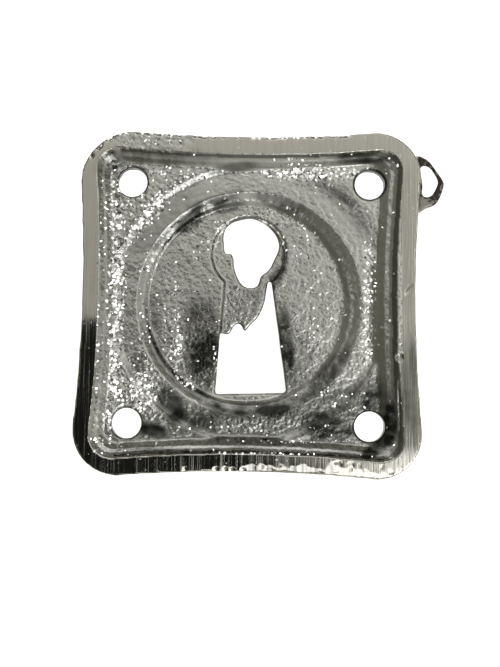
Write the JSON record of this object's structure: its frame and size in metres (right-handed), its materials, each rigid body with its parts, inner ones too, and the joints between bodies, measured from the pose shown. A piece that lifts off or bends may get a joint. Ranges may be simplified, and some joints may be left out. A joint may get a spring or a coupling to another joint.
{
  "type": "keyhole escutcheon",
  "caption": "Cast metal plate that surrounds a keyhole and guides the key, screwed on at four corners, hollow at the back.",
  "frame": {"origin": "centre of the four screw holes, in the plane of the flat ground rim at the back", "axes": "+Z out of the back, square to the rim; +Y towards the round end of the keyhole; the show face looks along -Z"},
  "size_m": [0.0479, 0.0452, 0.0037],
  "materials": {
    "cast_metal": "satin"
  },
  "bodies": {
    "root": {"escutcheon": "cast_metal"}
  },
  "joints": []
}
